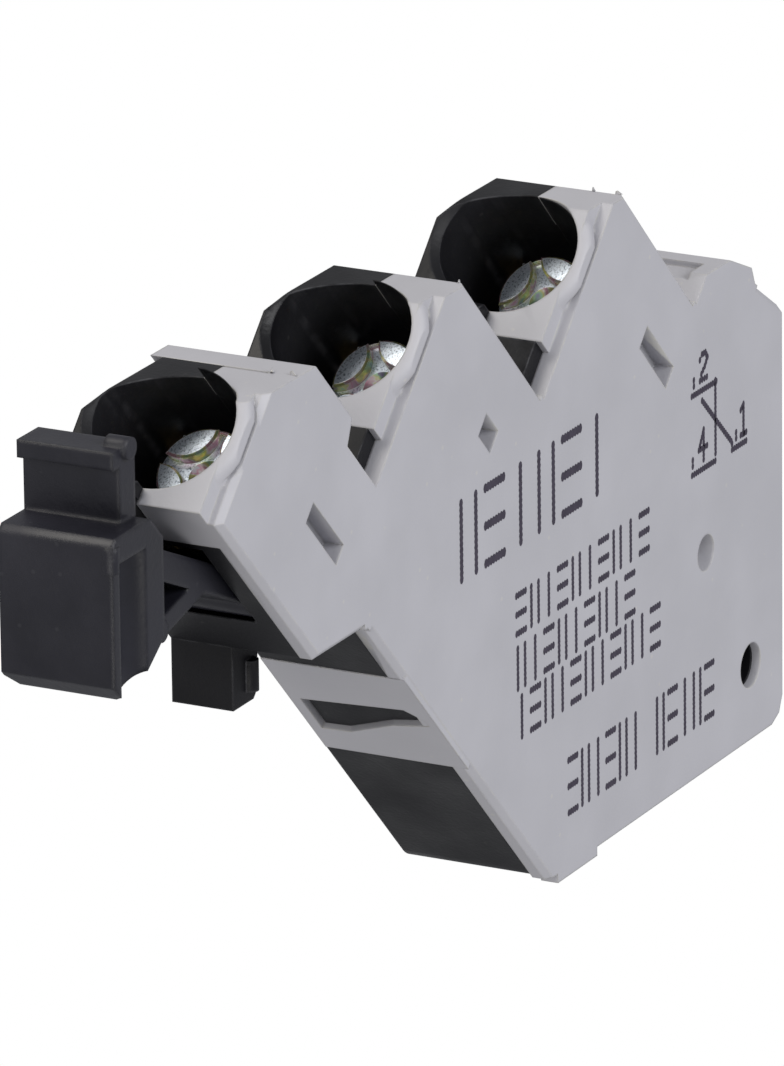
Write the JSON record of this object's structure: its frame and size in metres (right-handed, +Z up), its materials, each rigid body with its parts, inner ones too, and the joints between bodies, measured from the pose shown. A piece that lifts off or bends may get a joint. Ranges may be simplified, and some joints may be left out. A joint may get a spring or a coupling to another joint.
{
  "type": "alarm contact",
  "caption": "Flat snap-in alarm contact module: changeover switch with slanted screw terminals and a swinging trip lever.",
  "frame": {"origin": "middle of the bottom seat, half way through the module's thickness", "axes": "+X along the module away from the trip lever, +Y across the thickness from the printed cover to the base, +Z up"},
  "size_m": [0.0884, 0.01, 0.0443],
  "materials": {
    "cover_grey": "fine moulded grain",
    "base_black": "slightly glossy moulding",
    "lever_black": "slightly glossy moulding",
    "rod_natural": "satin",
    "zinc_steel": "zinc plated",
    "pin_steel": "drawn",
    "spring_steel": "drawn wire",
    "brass_strip": "stamped strip",
    "spring_bronze": "rolled strip",
    "silver_contact": "pressed silver alloy"
  },
  "bodies": {
    "housing": {"base": "base_black", "cover": "cover_grey", "lever_pin": "pin_steel", "common_strip": "brass_strip", "break_strip": "brass_strip", "make_strip": "brass_strip", "break_contact": "silver_contact", "make_contact": "silver_contact", "return_spring": "spring_steel", "blade_spring": "spring_steel"},
    "trip_lever": {"lever": "lever_black"},
    "rod": {"push_rod": "rod_natural"},
    "blade": {"contact_blade": "spring_bronze", "blade_contact": "silver_contact"},
    "clamp_1": {"clamp_plate_1": "zinc_steel"},
    "clamp_2": {"clamp_plate_2": "zinc_steel"},
    "clamp_3": {"clamp_plate_3": "zinc_steel"},
    "screw_1": {"terminal_screw_1": "zinc_steel"},
    "screw_2": {"terminal_screw_2": "zinc_steel"},
    "screw_3": {"terminal_screw_3": "zinc_steel"}
  },
  "joints": [
    {"name": "lever_swing", "type": "hinge", "parent": "housing", "child": "trip_lever", "pos_m": [-0.0502, 0, 0.0289], "axis": [0, 1, 0], "range_deg": [0, 4.1], "stiffness_Nm_per_rad": 0.01, "springref_deg": -5.73, "deforming": ["return_spring"]},
    {"name": "rod_slide", "type": "slide", "parent": "housing", "child": "rod", "axis": [0, 0, -1], "range_m": [0, 0.00131]},
    {"name": "blade_tilt", "type": "hinge", "parent": "housing", "child": "blade", "pos_m": [-0.02, 0, 0.01945], "axis": [0, -1, 0], "range_deg": [0, 6.3], "stiffness_Nm_per_rad": 0.002, "springref_deg": -5.73, "deforming": ["blade_spring"]},
    {"name": "clamp_slide_1", "type": "slide", "parent": "housing", "child": "clamp_1", "axis": [0.7071, 0, -0.7071], "range_m": [0, 0.0011]},
    {"name": "clamp_slide_2", "type": "slide", "parent": "housing", "child": "clamp_2", "axis": [0.7071, 0, -0.7071], "range_m": [0, 0.0011]},
    {"name": "clamp_slide_3", "type": "slide", "parent": "housing", "child": "clamp_3", "axis": [0.7071, 0, -0.7071], "range_m": [0, 0.0011]},
    {"name": "screw_turn_1", "type": "hinge", "parent": "clamp_1", "child": "screw_1", "pos_m": [-0.0573, 0, 0.04135], "axis": [0.7071, 0, -0.7071], "range_deg": [0, 792]},
    {"name": "screw_turn_2", "type": "hinge", "parent": "clamp_2", "child": "screw_2", "pos_m": [-0.03455, 0, 0.04035], "axis": [0.7071, 0, -0.7071], "range_deg": [0, 792]},
    {"name": "screw_turn_3", "type": "hinge", "parent": "clamp_3", "child": "screw_3", "pos_m": [-0.0118, 0, 0.03935], "axis": [0.7071, 0, -0.7071], "range_deg": [0, 792]}
  ],
  "couplings": [
    {"joint": "rod_slide", "follows": "lever_swing", "m_per_rad": 0.0182},
    {"joint": "blade_tilt", "follows": "lever_swing", "ratio": 1.5167},
    {"joint": "screw_turn_1", "follows": "clamp_slide_1", "rad_per_m": 12566},
    {"joint": "screw_turn_2", "follows": "clamp_slide_2", "rad_per_m": 12566},
    {"joint": "screw_turn_3", "follows": "clamp_slide_3", "rad_per_m": 12566}
  ]
}
